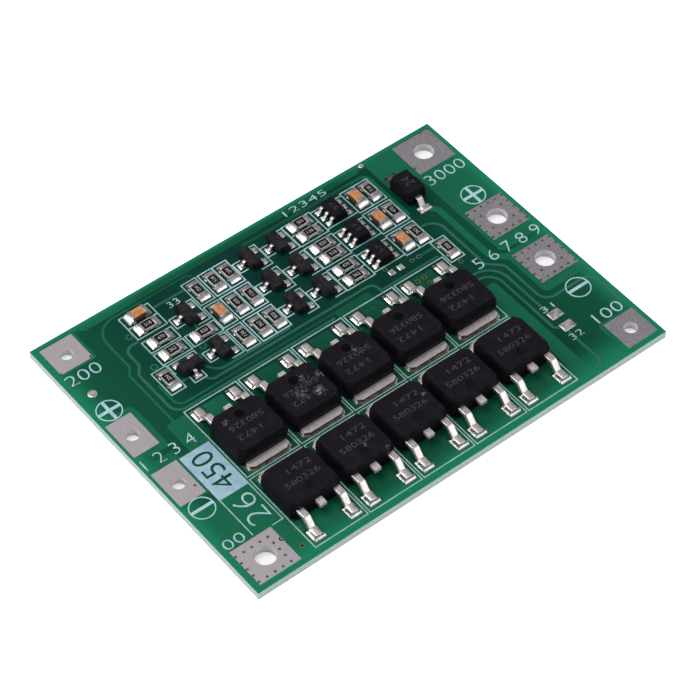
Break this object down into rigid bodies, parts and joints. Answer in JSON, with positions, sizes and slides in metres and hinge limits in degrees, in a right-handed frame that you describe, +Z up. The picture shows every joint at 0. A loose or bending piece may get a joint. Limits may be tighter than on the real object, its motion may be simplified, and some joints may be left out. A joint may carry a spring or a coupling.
{
  "type": "battery management board",
  "caption": "Battery protection circuit board: two facing rows of power transistors, repeated cell-monitor channels and plated lands for wires along both short edges.",
  "frame": {"origin": "middle of the board's underside", "axes": "+X along the board towards the load lands, +Y from the power transistors to the monitor channels, +Z up through the board"},
  "size_m": [0.056, 0.0408, 0.0034],
  "materials": {
    "solder_mask": "semi gloss",
    "print": "matt",
    "plated_land": "satin",
    "solder": "bright",
    "tinned_tab": "satin",
    "tinned_lead": "bright",
    "moulded_epoxy": "matt",
    "chip_ceramic": "matt",
    "resistor_coat": "gloss",
    "chip_plating": "satin",
    "capacitor_ceramic": "matt"
  },
  "bodies": {
    "root": {"board": "solder_mask", "copper_tracks": "solder_mask", "silkscreen": "print", "test_pads": "plated_land", "solder_joints": "solder", "terminal_pack_minus": "plated_land", "terminal_cell_1": "plated_land", "terminal_cell_2": "plated_land", "terminal_pack_plus": "plated_land", "terminal_charge_plus": "plated_land", "terminal_charge_minus": "plated_land", "terminal_load_plus": "plated_land", "terminal_load_minus": "plated_land", "mosfet_1_case": "moulded_epoxy", "mosfet_2_case": "moulded_epoxy", "mosfet_3_case": "moulded_epoxy", "mosfet_4_case": "moulded_epoxy", "mosfet_5_case": "moulded_epoxy", "mosfet_6_case": "moulded_epoxy", "mosfet_7_case": "moulded_epoxy", "mosfet_8_case": "moulded_epoxy", "mosfet_9_case": "moulded_epoxy", "mosfet_10_case": "moulded_epoxy", "mosfet_1_drain_tab": "tinned_tab", "mosfet_2_drain_tab": "tinned_tab", "mosfet_3_drain_tab": "tinned_tab", "mosfet_4_drain_tab": "tinned_tab", "mosfet_5_drain_tab": "tinned_tab", "mosfet_6_drain_tab": "tinned_tab", "mosfet_7_drain_tab": "tinned_tab", "mosfet_8_drain_tab": "tinned_tab", "mosfet_9_drain_tab": "tinned_tab", "mosfet_10_drain_tab": "tinned_tab", "mosfet_1_leads": "tinned_lead", "mosfet_2_leads": "tinned_lead", "mosfet_3_leads": "tinned_lead", "mosfet_4_leads": "tinned_lead", "mosfet_5_leads": "tinned_lead", "mosfet_6_leads": "tinned_lead", "mosfet_7_leads": "tinned_lead", "mosfet_8_leads": "tinned_lead", "mosfet_9_leads": "tinned_lead", "mosfet_10_leads": "tinned_lead", "monitor_1_case": "moulded_epoxy", "monitor_2_case": "moulded_epoxy", "monitor_3_case": "moulded_epoxy", "monitor_1_leads": "tinned_lead", "monitor_2_leads": "tinned_lead", "monitor_3_leads": "tinned_lead", "transistor_cases": "moulded_epoxy", "transistor_leads": "tinned_lead", "diode_case": "moulded_epoxy", "diode_leads": "tinned_lead", "resistor_bodies": "chip_ceramic", "resistor_ends": "chip_plating", "resistor_coats": "resistor_coat", "capacitor_bodies": "capacitor_ceramic", "capacitor_ends": "chip_plating"}
  },
  "joints": []
}
